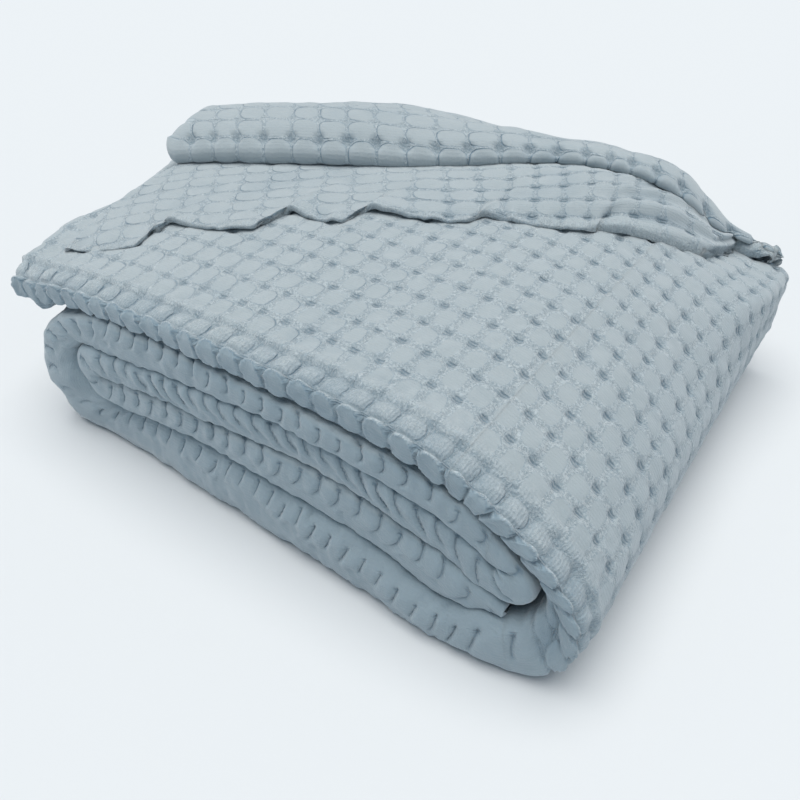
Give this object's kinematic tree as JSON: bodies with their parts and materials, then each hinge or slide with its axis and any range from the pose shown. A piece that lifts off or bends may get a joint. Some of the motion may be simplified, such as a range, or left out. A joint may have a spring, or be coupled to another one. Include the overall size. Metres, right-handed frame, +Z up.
{
  "type": "folded waffle weave cotton blanket",
  "caption": "Folded waffle weave cotton blanket: a soft pile of wrapped strips with rounded front folds and its top layer turned back in a roll.",
  "frame": {"origin": "centre of the pile's bounding box in plan, on the surface it rests on", "axes": "+X along the front folds towards the big rounded end, -Y towards the side where the rounded folds of the strips show, +Z up"},
  "size_m": [0.5096, 0.4075, 0.1978],
  "materials": {
    "cotton_waffle": "matt waffle weave cotton, pale blue-grey"
  },
  "bodies": {
    "root": {"blanket": "cotton_waffle"}
  },
  "joints": []
}
